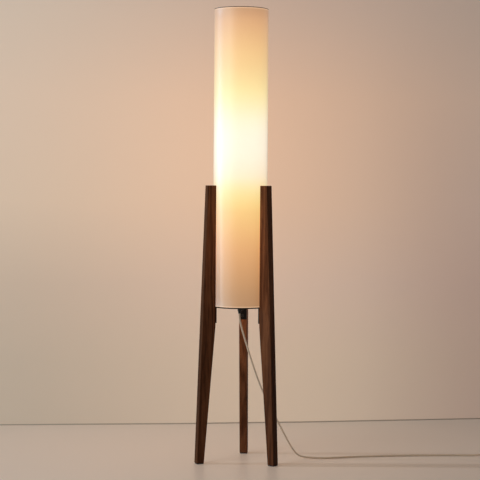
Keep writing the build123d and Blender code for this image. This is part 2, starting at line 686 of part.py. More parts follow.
# ---------------------------------------------------------------- plug
BLADE_GAP = 12.7
BLADE_L = 17.5
BLADE_T = 1.5
BLADE_W = 6.3
BLADE_CHAMFER = 0.5
BLADE_HOLE_R = 1.6
BLADE_HOLE_INSET = 4.5
PLUG_SLEEVE_L = 24.0
PLUG_SLEEVE_R = 5.2
PLUG_SLEEVE_TAPER = 5.2
PLUG_BODY_L = 33.0
PLUG_WAIST = (15.0, 12.0, 5.0)
PLUG_GRIP = (24.0, 17.0, 6.0)
PLUG_FLARE_L = 0.45 * PLUG_BODY_L
PLUG_EDGE_R = 1.2
SLEEVE_SLOTS = 4
SLEEVE_SLOT_PITCH = 4.6
SLEEVE_SLOT_W = 1.4
SLEEVE_SLOT_START = 4.5
SLEEVE_CORE_R = 2.9
SLEEVE_CORE_GROWTH = 0.4

plug_c, plug_s = heading(PLUG_HEADING)


def along_plug(distance):
    """Upright plane across the plug at a distance from its cord end: local y runs up."""
    origin = (PLUG_START[0] + distance * plug_c, PLUG_START[1] + distance * plug_s, PLUG_AXIS_Z)
    return Plane(origin=origin, x_dir=(-plug_s, plug_c, 0), z_dir=(plug_c, plug_s, 0))


with BuildPart() as plug_body:
    with BuildSketch(along_plug(PLUG_SLEEVE_L)):
        RectangleRounded(*PLUG_WAIST)
    with BuildSketch(along_plug(PLUG_SLEEVE_L + PLUG_FLARE_L)):
        RectangleRounded(*PLUG_GRIP)
    loft()
    with BuildSketch(along_plug(PLUG_SLEEVE_L + PLUG_FLARE_L)):
        RectangleRounded(*PLUG_GRIP)
    extrude(amount=PLUG_BODY_L - PLUG_FLARE_L)
    fillet(plug_body.faces().sort_by(Axis.Y)[0].edges(), radius=PLUG_EDGE_R)
save(plug_body, "plug_body")

with BuildPart() as plug_sleeve:
    with BuildSketch(along_plug(PLUG_SLEEVE_L)):
        Circle(PLUG_SLEEVE_R)
    extrude(amount=-PLUG_SLEEVE_L, taper=PLUG_SLEEVE_TAPER)
    for slot in range(SLEEVE_SLOTS):
        with BuildSketch(along_plug(SLEEVE_SLOT_START + SLEEVE_SLOT_PITCH * slot)):
            Circle(2 * PLUG_SLEEVE_R)
            Circle(SLEEVE_CORE_R + SLEEVE_CORE_GROWTH * slot, mode=Mode.SUBTRACT)
        extrude(amount=SLEEVE_SLOT_W, mode=Mode.SUBTRACT)
save(plug_sleeve, "plug_sleeve")

with BuildPart() as plug_blades:
    with BuildSketch(along_plug(PLUG_SLEEVE_L + PLUG_BODY_L)):
        with GridLocations(BLADE_GAP, 0, 2, 1):
            Rectangle(BLADE_T, BLADE_W)
    extrude(amount=BLADE_L)
    chamfer(plug_blades.faces().sort_by(Axis.Y)[:2].edges(), length=BLADE_CHAMFER)
    with Locations(along_plug(PLUG_SLEEVE_L + PLUG_BODY_L + BLADE_L - BLADE_HOLE_INSET)):
        with Locations(Rotation(0, 90, 0)):
            Cylinder(radius=BLADE_HOLE_R, height=BLADE_GAP + 2 * BLADE_T, mode=Mode.SUBTRACT)
save(plug_blades, "plug_blades")


# ---------------------------------------------------------------- cord
FLOOR_Z = CORD_R
switch_c, switch_s = heading(SWITCH_HEADING)


def on_switch_axis(distance):
    return (SWITCH_CENTRE[0] + distance * switch_c, SWITCH_CENTRE[1] + distance * switch_s,
            SWITCH_AXIS_Z)


def on_plug_axis(distance):
    return (PLUG_START[0] + distance * plug_c, PLUG_START[1] + distance * plug_s, PLUG_AXIS_Z)


COIL_OUTER_R = COIL_MID_R + COIL_PITCH * COIL_LAYER_TURNS / 2
COIL_LOW_Z = COIL_BOTTOM_Z + CORD_R
SLEEVE_REACH = SWITCH_L / 2 + SLEEVE_L

LEAD_ROUTE = [
    (0, 0, GRIP_BOTTOM_Z), (0, 0, 398), (6, 1.8, 373), (14, 4.7, 345), (25.5, 8.5, 306),
    (39.5, 13.5, 260), (57.5, 19.5, 209), (80, 27, 158), (106, 36, 107), (131, 44.5, 57), (150, 51.5, 22),
    (168, 57, 5.5), (205, 62.5, FLOOR_Z), (239, 65, FLOOR_Z), (273, 80, FLOOR_Z),
    (315, 99, FLOOR_Z), (364, 114, FLOOR_Z), (422, 131, FLOOR_Z), (487, 148, FLOOR_Z),
    (552, 160, FLOOR_Z), (612, 170.5, FLOOR_Z), (650, 173.5, FLOOR_Z),
    on_switch_axis(-SLEEVE_REACH - 26), on_switch_axis(-SLEEVE_REACH),
]
coil_entry = (COIL_CENTRE[0] + COIL_OUTER_R, COIL_CENTRE[1], COIL_LOW_Z)
LINK_ROUTE = [
    on_switch_axis(SLEEVE_REACH), on_switch_axis(SLEEVE_REACH + 22), (864.5, 184, 5.4),
    (880, 168.5, 4.4), (887, 147, COIL_LOW_Z), coil_entry,
]
coil_exit = (coil_entry[0], coil_entry[1], COIL_LOW_Z + 2 * CORD_R)
TAIL_ROUTE = [coil_exit, on_plug_axis(-21), on_plug_axis(0)]


def corner_radii(route):
    """One arc radius for each corner: 0.45 of the shorter run over tan of half the turn."""
    radii = []
    for before, corner, after in zip(route, route[1:], route[2:]):
        run_in = Vector(*corner) - Vector(*before)
        run_out = Vector(*after) - Vector(*corner)
        half_turn = math.radians(run_in.get_angle(run_out)) / 2
        radii.append(0.45 * min(run_in.length, run_out.length) / math.tan(half_turn))
    return radii


for name, route in (("cord_lead", LEAD_ROUTE), ("cord_link", LINK_ROUTE),
                    ("cord_tail", TAIL_ROUTE)):
    radii = corner_radii(route)
    with BuildPart() as cord:
        with BuildLine() as path:
            FilletPolyline(*route, radius=radii)
        start = path.wire() @ 0
        with BuildSketch(Plane(origin=start, z_dir=path.wire() % 0)):
            Circle(CORD_R)
        sweep()
    save(cord, name)
    length = path.wire().length
    print(f"{name}: {length:.0f} mm long, volume over section times length"
          f" {cord.part.volume / (math.pi * CORD_R**2 * length):.4f},"
          f" tightest arc {min(radii):.0f} mm, radii {[round(r) for r in radii]}")

BUNDLE_W = 2 * (COIL_OUTER_R - COIL_MID_R) + 2 * CORD_R
BUNDLE_H = 4 * CORD_R
BUNDLE_CORNER_R = 2.3
TIE_W = 8.0
TIE_T = 0.6
TIE_SIDE_GAP = 0.85
TIE_TOP_GAP = 0.35
TIE_CORNER_R = 3.0

with BuildPart() as cord_coil:
    with BuildSketch(Plane(origin=(*COIL_CENTRE, COIL_LOW_Z + CORD_R), x_dir=(1, 0, 0),
                           z_dir=(0, -1, 0))):
        with Locations((COIL_MID_R, 0)):
            RectangleRounded(BUNDLE_W, BUNDLE_H, BUNDLE_CORNER_R)
    revolve(axis=Axis((*COIL_CENTRE, 0), (0, 0, 1)))
save(cord_coil, "cord_coil")

with BuildPart() as coil_tie:
    with BuildSketch(Plane(origin=(COIL_CENTRE[0] - COIL_MID_R, COIL_CENTRE[1],
                                   COIL_LOW_Z + CORD_R), x_dir=(1, 0, 0), z_dir=(0, -1, 0))):
        RectangleRounded(BUNDLE_W + 2 * (TIE_SIDE_GAP + TIE_T),
                         BUNDLE_H + 2 * (TIE_TOP_GAP + TIE_T), TIE_CORNER_R)
        RectangleRounded(BUNDLE_W + 2 * TIE_SIDE_GAP, BUNDLE_H + 2 * TIE_TOP_GAP,
                         TIE_CORNER_R - TIE_T, mode=Mode.SUBTRACT)
    extrude(amount=TIE_W / 2, both=True)
save(coil_tie, "coil_tie")

turn_length = 2 * math.pi * COIL_MID_R
print(f"coil: {2 * COIL_LAYER_TURNS} turns, {2 * COIL_LAYER_TURNS * turn_length:.0f} mm of cord,"
      f" {2 * (COIL_OUTER_R + CORD_R):.0f} mm across")
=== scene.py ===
import math

import bmesh
import bpy
from mathutils import Matrix, Vector


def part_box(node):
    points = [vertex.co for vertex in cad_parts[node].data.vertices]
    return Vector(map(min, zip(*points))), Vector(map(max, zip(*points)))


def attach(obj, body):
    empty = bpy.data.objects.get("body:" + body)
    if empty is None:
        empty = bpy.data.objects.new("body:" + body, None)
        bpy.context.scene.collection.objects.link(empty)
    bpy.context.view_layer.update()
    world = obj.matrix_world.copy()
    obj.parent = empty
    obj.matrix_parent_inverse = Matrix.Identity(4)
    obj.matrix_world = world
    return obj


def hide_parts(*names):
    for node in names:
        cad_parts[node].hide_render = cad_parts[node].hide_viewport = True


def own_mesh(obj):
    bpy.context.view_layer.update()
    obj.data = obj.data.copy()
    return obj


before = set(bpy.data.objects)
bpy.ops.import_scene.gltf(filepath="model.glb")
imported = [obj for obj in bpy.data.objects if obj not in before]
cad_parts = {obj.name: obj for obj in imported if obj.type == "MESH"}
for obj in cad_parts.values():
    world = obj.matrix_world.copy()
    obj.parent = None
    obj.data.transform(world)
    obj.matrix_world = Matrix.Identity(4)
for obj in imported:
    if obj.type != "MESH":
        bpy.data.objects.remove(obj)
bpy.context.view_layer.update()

# Tripod column lamp. Metres, +Z up, floor at Z = 0, lamp axis on Z.
CORD_R = 0.0025
GRIP_BOTTOM_Z = 0.4135
LEG_ANGLES = {"rear": 90, "left": 210, "right": 330}


def in_scene(name, data):
    """A new object that holds the data, linked into the scene."""
    thing = bpy.data.objects.new(name, data)
    bpy.context.scene.collection.objects.link(thing)
    return thing


# ---------------------------------------------------------------- camera
# It looks along +Y, turned a little about the lamp's axis, tilted down and rolled.
CAMERA_TURN = math.radians(7.23)
CAMERA_REACH = 4.0686
CAMERA_Z = 0.7813
CAMERA_TILT = 0.04
CAMERA_ROLL = 0.0068
LENS_MM = 109.69

right = Vector((math.cos(CAMERA_TURN), math.sin(CAMERA_TURN), 0))
level = Vector((-math.sin(CAMERA_TURN), math.cos(CAMERA_TURN), 0))
upward = Vector((0, 0, 1))
ahead = level * math.cos(CAMERA_TILT) - upward * math.sin(CAMERA_TILT)
over = level * math.sin(CAMERA_TILT) + upward * math.cos(CAMERA_TILT)
camera_x = right * math.cos(CAMERA_ROLL) + over * math.sin(CAMERA_ROLL)
camera_y = over * math.cos(CAMERA_ROLL) - right * math.sin(CAMERA_ROLL)

camera = in_scene("camera", bpy.data.cameras.new("camera"))
camera.data.lens = LENS_MM
camera.data.sensor_width = 36
camera.data.clip_start = 0.05
camera.data.clip_end = 60
camera.matrix_world = Matrix.Translation(
    Vector((0, 0, CAMERA_Z)) - level * CAMERA_REACH
) @ Matrix((camera_x, camera_y, -ahead)).transposed().to_4x4()
bpy.context.scene.camera = camera


# ---------------------------------------------------------------- cord
SWITCH_CENTRE = (0.765, 0.184)
SWITCH_HEADING = math.radians(5)
SWITCH_AXIS_Z = 0.006
COIL_CENTRE = (0.852, 0.120)
COIL_OUTER_R = 0.0353
COIL_PITCH = 0.0052
COIL_LAYER_TURNS = 3
COIL_LOW_Z = 0.0035
COIL_HIGH_Z = 0.0085
COIL_TURN_POINTS = 16
PLUG_START = (0.8866, 0.077)
PLUG_HEADING = math.radians(268.5)
PLUG_AXIS_Z = 0.0095
FLOOR_Z = CORD_R


def on_switch_axis(distance):
    """A point on the line of the cord through the foot switch, that far past its middle."""
    return (SWITCH_CENTRE[0] + distance * math.cos(SWITCH_HEADING),
            SWITCH_CENTRE[1] + distance * math.sin(SWITCH_HEADING), SWITCH_AXIS_Z)


def on_plug_axis(distance):
    """A point on the plug's own line, that far past the start of its sleeve."""
    return (PLUG_START[0] + distance * math.cos(PLUG_HEADING),
            PLUG_START[1] + distance * math.sin(PLUG_HEADING), PLUG_AXIS_Z)


def coil_points():
    """Two layers of turns, clockwise from above: inward on the floor, then outward on top."""
    turns = 2 * COIL_LAYER_TURNS
    widen = 1 / math.cos(math.pi / COIL_TURN_POINTS)
    points = []
    for step in range(turns * COIL_TURN_POINTS + 1):
        turn = step / COIL_TURN_POINTS
        inward = min(turn, turns - turn)
        radius = (COIL_OUTER_R - COIL_PITCH * inward) * widen
        climb = min(1, max(0, (turn - COIL_LAYER_TURNS) * 4 + 0.5))
        z = COIL_LOW_Z + (COIL_HIGH_Z - COIL_LOW_Z) * climb
        angle = -2 * math.pi * turn
        points.append((COIL_CENTRE[0] + radius * math.cos(angle),
                       COIL_CENTRE[1] + radius * math.sin(angle), z))
    return points


LEAD_ROUTE = [
    (0, 0, GRIP_BOTTOM_Z), (0, 0, 0.398), (0.006, 0.0018, 0.373), (0.014, 0.0047, 0.345),
    (0.0255, 0.0085, 0.306), (0.0395, 0.0135, 0.260), (0.0575, 0.0195, 0.209),
    (0.080, 0.027, 0.158), (0.106, 0.036, 0.107), (0.131, 0.0445, 0.057),
    (0.150, 0.0515, 0.022), (0.168, 0.057, 0.0055), (0.205, 0.0625, FLOOR_Z),
    (0.239, 0.065, FLOOR_Z), (0.273, 0.080, FLOOR_Z), (0.315, 0.099, FLOOR_Z),
    (0.364, 0.114, FLOOR_Z), (0.422, 0.131, FLOOR_Z), (0.487, 0.148, FLOOR_Z),
    (0.552, 0.160, FLOOR_Z), (0.612, 0.1705, FLOOR_Z), (0.650, 0.1735, FLOOR_Z),
    on_switch_axis(-0.083), on_switch_axis(-0.057),
]
SWITCH_TO_COIL = [
    on_switch_axis(0.057), on_switch_axis(0.079), (0.8645, 0.184, 0.0054),
    (0.880, 0.1685, 0.0044), (0.887, 0.147, COIL_LOW_Z),
]
COIL_TO_PLUG = [on_plug_axis(-0.021), on_plug_axis(0)]


def tube(name, route, radius, body):
    """A round cord along one smooth open spline whose control points are the route."""
    curve = bpy.data.curves.new(name, "CURVE")
    curve.dimensions = "3D"
    spline = curve.splines.new("NURBS")
    spline.points.add(len(route) - 1)
    for point, place in zip(spline.points, route):
        point.co = (*place, 1)
        point.radius = radius
    spline.order_u = 3
    spline.use_endpoint_u = True
    spline.resolution_u = 10
    spline.use_smooth = True
    curve.bevel_depth = 1.0
    curve.bevel_resolution = 5
    curve.use_fill_caps = True
    piece = in_scene(name, curve)
    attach(piece, body)
    return piece


lead = tube("lead_to_switch", LEAD_ROUTE, CORD_R, "stand")
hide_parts("cord_lead")

flex = tube("lead_to_plug", SWITCH_TO_COIL + coil_points() + COIL_TO_PLUG, CORD_R,
            "stand")
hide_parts("cord_link", "cord_coil", "cord_tail")


# ---------------------------------------------------------------- mesh tools
def ease(value, low, high):
    """0 below low, 1 above high, and a smooth step between."""
    share = min(1, max(0, (value - low) / (high - low)))
    return share * share * (3 - 2 * share)


def wrapped_mesh(name, body, rows, closed_loop=False, creases=40):
    """A piece from rings of points, each joined to the next. An open chain gets end caps."""
    size = len(rows[0])
    points = [point for row in rows for point in row]
    spans = len(rows) if closed_loop else len(rows) - 1
    faces = []
    for row in range(spans):
        near, far = row * size, (row + 1) % len(rows) * size
        for step in range(size):
            beside = (step + 1) % size
            faces.append((near + step, near + beside, far + beside, far + step))
    if not closed_loop:
        faces.append(tuple(reversed(range(size))))
        faces.append(tuple(range((len(rows) - 1) * size, len(rows) * size)))
    mesh = bpy.data.meshes.new(name)
    mesh.from_pydata(points, [], faces)
    shell = bmesh.new()
    shell.from_mesh(mesh)
    bmesh.ops.recalc_face_normals(shell, faces=shell.faces)
    shell.to_mesh(mesh)
    shell.free()
    mesh.shade_smooth()
    mesh.set_sharp_from_angle(angle=math.radians(creases))
    piece = in_scene(name, mesh)
    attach(piece, body)
    return piece


# ---------------------------------------------------------------- shade cloth
SEAM_ANGLE = math.radians(128)
SEAM_LAP = 0.012
HEM_H = 0.0030
cloth_low, cloth_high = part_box("shade_cover")
CLOTH_R = cloth_high[0]
CLOTH_BACK_R = CLOTH_R - 0.0007
LAP_TURN = SEAM_LAP / CLOTH_R
UNDER_LAP_SINK = 0.00035
OVER_LAP_BACK_LIFT = 0.00042
OVER_LAP_FACE_LIFT = 0.00016
HEM_SWELL = 0.00028
SLACK_DEPTH = 0.00007
CLOTH_STEPS = 160
CLOTH_BANDS = 36


def cloth_radii(turn, height):
    """Inner and outer radius of the wound cloth: the first edge lies under the last one."""
    under = 1 - ease(turn, LAP_TURN, LAP_TURN + 0.05)
    over = ease(turn, 2 * math.pi - 0.05, 2 * math.pi - 0.005)
    edge = min(height - cloth_low[2], cloth_high[2] - height)
    hem = HEM_SWELL * (1 - ease(edge, HEM_H * 0.8, HEM_H * 1.15)) * (1 - under) * (1 - over)
    slack = SLACK_DEPTH * math.sin(5 * turn + 9 * height) * math.sin(23 * height + 2 * turn)
    inner = CLOTH_BACK_R + OVER_LAP_BACK_LIFT * over
    outer = (CLOTH_R - UNDER_LAP_SINK * under + OVER_LAP_FACE_LIFT * over + hem
             + slack * (1 - under) * (1 - over))
    return inner, outer


def wound_cloth():
    """The cloth wound once round the shade, from one lapped edge to the other."""
    turns = [2 * math.pi * step / CLOTH_STEPS for step in range(CLOTH_STEPS + 1)]
    turns += [LAP_TURN * share for share in (0.5, 1.0)] + [LAP_TURN + 0.025]
    turns += [2 * math.pi - 0.03, 2 * math.pi - 0.015]
    turns += [2 * math.pi + LAP_TURN * share for share in (0.25, 0.5, 0.75, 1.0)]
    turns.sort()
    low, high = cloth_low[2], cloth_high[2]
    span = high - low - 2 * HEM_H
    edge_steps = (0.0, 0.0003, 0.0012, 0.0022, HEM_H)
    levels = [low + step for step in edge_steps]
    levels += [low + HEM_H + span * step / CLOTH_BANDS for step in range(1, CLOTH_BANDS)]
    levels += [high - step for step in reversed(edge_steps)]
    rows = []
    for turn in turns:
        angle = SEAM_ANGLE + turn
        around = (math.cos(angle), math.sin(angle))
        radii = [(cloth_radii(turn, level), level) for level in levels]
        outward = [(outer * around[0], outer * around[1], level) for (_, outer), level in radii]
        inward = [(inner * around[0], inner * around[1], level) for (inner, _), level in radii]
        rows.append(outward + inward[::-1])
    return wrapped_mesh("shade_cloth", "shade", rows)


cloth = wound_cloth()
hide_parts("shade_cover")


# ---------------------------------------------------------------- bulb cap, spring and cord tie
def turned_piece(name, body, profile, steps):
    """A closed profile, which may change with the angle, turned about the lamp's axis."""
    rows = []
    for step in range(steps):
        angle = 2 * math.pi * step / steps
        rows.append([(radius * math.cos(angle), radius * math.sin(angle), z)
                     for radius, z in profile(angle)])
    return wrapped_mesh(name, body, rows, closed_loop=True)


cap_low, cap_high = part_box("bulb_cap")
CAP_R = 0.0130
CAP_WALL = 0.0016
CAP_STEPS = 72
THREAD_PITCH = 0.0036
THREAD_DEPTH = 0.0007
THREAD_STEPS = 60
THREAD_START_H = 0.0016
THREAD_END_H = 0.0012
CAP_FLOOR_T = 0.0010
CAP_AXIS_GAP = 0.0004


def cap_profile(angle):
    """Rolled screw thread: one groove that climbs a pitch in each turn."""
    low, high = cap_low[2], cap_high[2]
    outer = []
    for step in range(THREAD_STEPS + 1):
        z = low + THREAD_START_H + (high - low - THREAD_START_H - THREAD_END_H) * step / THREAD_STEPS
        phase = 2 * math.pi * (z - low) / THREAD_PITCH - angle
        depth = THREAD_DEPTH * (0.5 - 0.5 * math.cos(phase))
        depth *= ease(z, low + THREAD_START_H, low + 0.0034)
        depth *= 1 - ease(z, high - 0.0036, high - 0.0018)
        outer.append((CAP_R - depth, z))
    rim = [(CAP_R + 0.0001, high - 0.0009), (CAP_R, high)]
    inside = [(CAP_R - CAP_WALL, high), (CAP_R - CAP_WALL, low + CAP_FLOOR_T),
              (CAP_AXIS_GAP, low + CAP_FLOOR_T)]
    return [(CAP_AXIS_GAP, low), (CAP_R - 0.0014, low), *outer, *rim, *inside]


cap = turned_piece("threaded_cap", "bulb", cap_profile, CAP_STEPS)
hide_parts("bulb_cap")

spring_low, spring_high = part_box("switch_spring")
SPRING_WIRE_R = 0.0004
SPRING_COILS = 6.5
SPRING_STEPS = 26
SPRING_END_TURNS = 0.8
SPRING_WIRE_SIDES = 8


def wire_spring():
    """A compression spring whose first and last turns lie flat."""
    centre = (spring_low + spring_high) / 2
    reach = (spring_high[0] - spring_low[0]) / 2 - SPRING_WIRE_R
    bottom, top = spring_low[2] + SPRING_WIRE_R, spring_high[2] - SPRING_WIRE_R
    rows = []
    total = round(SPRING_COILS * SPRING_STEPS)
    for step in range(total + 1):
        turn = step / SPRING_STEPS
        angle = 2 * math.pi * turn
        climb = min(1, max(0, (turn - SPRING_END_TURNS) / (SPRING_COILS - 2 * SPRING_END_TURNS)))
        flat_turns = min(turn, SPRING_END_TURNS) + max(0, turn - SPRING_COILS + SPRING_END_TURNS)
        z = (bottom + 2 * SPRING_WIRE_R * flat_turns
             + (top - bottom - 4 * SPRING_END_TURNS * SPRING_WIRE_R) * climb)
        ring = []
        for corner in range(SPRING_WIRE_SIDES):
            swing = 2 * math.pi * corner / SPRING_WIRE_SIDES
            out = reach + SPRING_WIRE_R * math.cos(swing)
            ring.append((centre[0] + out * math.cos(angle), centre[1] + out * math.sin(angle),
                         z + SPRING_WIRE_R * math.sin(swing)))
        rows.append(ring)
    return wrapped_mesh("button_spring", "stand", rows)


spring = wire_spring()
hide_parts("switch_spring")
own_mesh(spring)

tie_low, tie_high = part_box("coil_tie")
TIE_T = 0.0006
TIE_CORNER_R = 0.0028
TIE_LAP = 0.0085
TIE_START_X = -0.0030
TIE_LAP_X = -0.0062
TIE_BEVEL = 0.94


def strap():
    """A hook and loop strap: once round the bundle, with its end lapped over the top."""
    middle = (tie_low + tie_high) / 2
    half_x = (tie_high[0] - tie_low[0]) / 2 - TIE_T / 2
    half_z = (tie_high[2] - tie_low[2]) / 2 - TIE_T / 2
    half_w = (tie_high[1] - tie_low[1]) / 2
    line = [(TIE_START_X, half_z, 0, 1)]
    for sign_x, sign_z, start in ((1, 1, 90), (1, -1, 0), (-1, -1, -90), (-1, 1, -180)):
        hub_x, hub_z = sign_x * (half_x - TIE_CORNER_R), sign_z * (half_z - TIE_CORNER_R)
        for step in range(7):
            angle = math.radians(start - 15 * step)
            across, up = math.cos(angle), math.sin(angle)
            line.append((hub_x + TIE_CORNER_R * across, hub_z + TIE_CORNER_R * up, across, up))
    for share in (0, 0.15, 0.35, 0.6, 0.85, 1):
        lift = (TIE_T + 0.0001) * ease(share, 0, 0.3) + 0.0007 * ease(share, 0.7, 1)
        line.append((TIE_LAP_X + TIE_LAP * share, half_z + lift, 0, 1))
    rows = []
    for x, z, across, up in line:
        row = []
        for side, depth in ((-1, -0.5), (-TIE_BEVEL, 0.5), (TIE_BEVEL, 0.5), (1, -0.5)):
            row.append((middle[0] + x + across * depth * TIE_T, middle[1] + side * half_w,
                        middle[2] + z + up * depth * TIE_T))
        rows.append(row)
    return wrapped_mesh("coil_strap", "stand", rows, creases=50)


band = strap()
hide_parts("coil_tie")


# ---------------------------------------------------------------- material tools
class Finish:
    """A Principled material with short calls for the nodes that the finishes share."""

    def __init__(self, name):
        self.material = bpy.data.materials.new(name)
        self.material.use_nodes = True
        self.nodes = self.material.node_tree.nodes
        self.links = self.material.node_tree.links
        self.shader = self.nodes["Principled BSDF"]
        self.place = self.add("ShaderNodeTexCoord").outputs["Object"]

    def put(self, socket, value):
        """Links the socket to another one, or sets its own value."""
        if isinstance(value, bpy.types.NodeSocket):
            self.links.new(value, socket)
        elif socket.type == "RGBA":
            socket.default_value = (*value, 1)
        else:
            socket.default_value = value

    def add(self, kind, inputs=None, **settings):
        """A new node with the given inputs and settings."""
        node = self.nodes.new(kind)
        for name, value in settings.items():
            setattr(node, name, value)
        for name, value in (inputs or {}).items():
            self.put(node.inputs[name], value)
        return node

    def math(self, operation, *values):
        node = self.add("ShaderNodeMath", operation=operation)
        for socket, value in zip(node.inputs, values):
            self.put(socket, value)
        return node.outputs[0]

    def split(self, vector=None):
        """The X, Y and Z of a vector."""
        vector = self.place if vector is None else vector
        return self.add("ShaderNodeSeparateXYZ", {"Vector": vector}).outputs

    def stretch(self, scale, vector=None, turn=(0, 0, 0)):
        vector = self.place if vector is None else vector
        return self.add("ShaderNodeMapping", {"Vector": vector, "Scale": scale,
                                              "Rotation": turn}).outputs[0]

    def noise(self, scale, vector=None, detail=2.0, roughness=0.5):
        vector = self.place if vector is None else vector
        return self.add("ShaderNodeTexNoise", {"Vector": vector, "Scale": scale, "Detail": detail,
                                               "Roughness": roughness}).outputs["Fac"]

    def between(self, value, low, high, to_low=0.0, to_high=1.0):
        """The value moved from one range to another, smoothly and held at its ends."""
        return self.add("ShaderNodeMapRange", {"Value": value, "From Min": low, "From Max": high,
                                               "To Min": to_low, "To Max": to_high},
                        interpolation_type="SMOOTHSTEP").outputs[0]

    def ramp(self, value, stops, interpolation="LINEAR"):
        """A colour for each value, from stops of position and colour."""
        node = self.add("ShaderNodeValToRGB", {"Fac": value})
        node.color_ramp.interpolation = interpolation
        elements = node.color_ramp.elements
        while len(elements) < len(stops):
            elements.new(0.5)
        for element, (position, colour) in zip(elements, stops):
            element.position = position
            element.color = (*colour, 1)
        return node.outputs[0]

    def mix(self, share, a, b, blend="MIX"):
        """Two colours mixed. A mix node's colour sockets are its inputs 6 and 7 and output 2."""
        return self.add("ShaderNodeMix", {0: share, 6: a, 7: b}, data_type="RGBA",
                        blend_type=blend).outputs[2]

    def scaled(self, colour, factor):
        """A colour multiplied by a number."""
        grey = self.add("ShaderNodeCombineColor", {0: factor, 1: factor, 2: factor}).outputs[0]
        return self.mix(1.0, colour, grey, "MULTIPLY")

    def bump(self, height, distance, strength):
        return self.add("ShaderNodeBump", {"Height": height, "Distance": distance,
                                           "Strength": strength}).outputs[0]

    def set(self, **values):
        """Sets or links inputs of the Principled shader. Returns the material."""
        names = {"base": "Base Color", "roughness": "Roughness", "metallic": "Metallic",
                 "normal": "Normal", "specular": "Specular IOR Level", "coat": "Coat Weight",
                 "coat_roughness": "Coat Roughness", "sheen": "Sheen Weight",
                 "sheen_roughness": "Sheen Roughness", "glow": "Emission Color",
                 "glow_strength": "Emission Strength"}
        for key, value in values.items():
            self.put(self.shader.inputs[names[key]], value)
        return self.material


def tinted(colour, factor):
    """A plain colour made darker or paler, up to white."""
    return tuple(min(c * factor, 1) for c in colour)


def show(material, *names):
    """Gives CAD nodes or new pieces a material on every slot."""
    for name in names:
        piece = bpy.data.objects[name]
        piece.data.materials.clear()
        piece.data.materials.append(material)


# ---------------------------------------------------------------- finishes
# A leg's outer and inner edge run along lines: distance from the lamp's axis = slope * Z + start.
# Above the kink the inner edge is upright.
LEG_OUTER_LINE = (-0.03716, 0.12911)
LEG_INNER_LINE = (-0.08492, 0.10785)
LEG_INNER_REACH = 0.0755
WOOD_TONES = [(0.18, (0.046, 0.0146, 0.0052)), (0.42, (0.094, 0.0315, 0.0120)),
              (0.62, (0.130, 0.0455, 0.0180)), (0.85, (0.170, 0.0650, 0.0270))]
PORE_TONE = (0.018, 0.006, 0.003)
WEAR_AND_HIGHLIGHT_TONE = (0.20, 0.085, 0.042)


def walnut(name, angle, painted_low, painted_high, painted_outer, painted_inner):
    """Oiled walnut with grain up the leg, open pores, and a lighter line along the edges:
    partly rubbed wear and partly painted highlight.

    The four painted values multiply the wood's colour as painted light and shade: low and high on the
    leg, and along its two edges."""
    f = Finish(name)
    turned = f.stretch((1, 1, 1), turn=(0, 0, -math.radians(angle)))
    parts = f.split(turned)
    reach, across, height = parts["X"], parts["Y"], parts["Z"]
    sway = f.noise(2.6, f.stretch((14, 14, 1.3), turned), 3.0)
    figure = f.math("ADD", f.math("MULTIPLY", reach, 300.0), f.math("MULTIPLY", sway, 26.0))
    figure = f.math("ADD", figure, f.math("MULTIPLY", across, 120.0))
    rings = f.math("MULTIPLY_ADD", f.math("SINE", figure), 0.5, 0.5)
    streaks = f.noise(1.0, f.stretch((420, 420, 7), turned), 4.0, 0.6)
    pores = f.between(f.noise(1.0, f.stretch((1500, 1500, 45), turned), 2.0), 0.60, 0.70)
    tone = f.math("ADD", f.math("MULTIPLY", rings, 0.35), f.math("MULTIPLY", streaks, 0.65))
    wood = f.ramp(tone, WOOD_TONES)
    patches = f.between(f.noise(5.0, f.stretch((1, 1, 0.35), turned), 2.0), 0.3, 0.7, 0.82, 1.14)
    wood = f.scaled(wood, patches)
    wood = f.mix(f.math("MULTIPLY", pores, 0.6), wood, PORE_TONE)
    outer_line = f.math("MULTIPLY_ADD", height, *LEG_OUTER_LINE)
    inner_line = f.math("MAXIMUM", f.math("MULTIPLY_ADD", height, *LEG_INNER_LINE), LEG_INNER_REACH)
    from_outer = f.math("SUBTRACT", outer_line, reach)
    from_inner = f.math("SUBTRACT", reach, inner_line)
    # Painted light and shade, by each leg's four values: lighter or darker low and high on the leg,
    # darker along the outer edge that turns away from the lamps, and lighter along the inner edge
    # that the shade's glow reaches.
    painted_light = f.between(height, 0.15, 0.5, painted_low, painted_high)
    painted_light = f.math("MULTIPLY", painted_light, f.between(from_outer, 0.0030, 0.0004, 1.0, painted_outer))
    painted_light = f.math("MULTIPLY", painted_light, f.between(from_inner, 0.0030, 0.0004, 1.0, painted_inner))
    wood = f.scaled(wood, painted_light)
    # A lighter line along the edges: partly rubbed wear, partly painted highlight.
    side = f.between(f.math("ABSOLUTE", across), 0.0093, 0.0107)
    outer = f.between(from_outer, 0.0018, 0.0004)
    inner = f.between(from_inner, 0.0018, 0.0004)
    wear_and_highlight = f.math("MULTIPLY", side, f.math("MAXIMUM", outer, inner))
    wear_and_highlight = f.math("MULTIPLY", wear_and_highlight, f.between(f.noise(90.0, detail=3.0), 0.35, 0.75))
    wood = f.mix(f.math("MULTIPLY", wear_and_highlight, 0.4), wood, WEAR_AND_HIGHLIGHT_TONE)
    shine = f.math("MULTIPLY_ADD", streaks, 0.2, 0.42)
    shine = f.math("MULTIPLY_ADD", pores, 0.2, shine)
    dents = f.math("SUBTRACT", f.math("MULTIPLY", streaks, 0.5), pores)
    return f.set(base=wood, roughness=shine, normal=f.bump(dents, 0.00018, 0.7), specular=0.08)


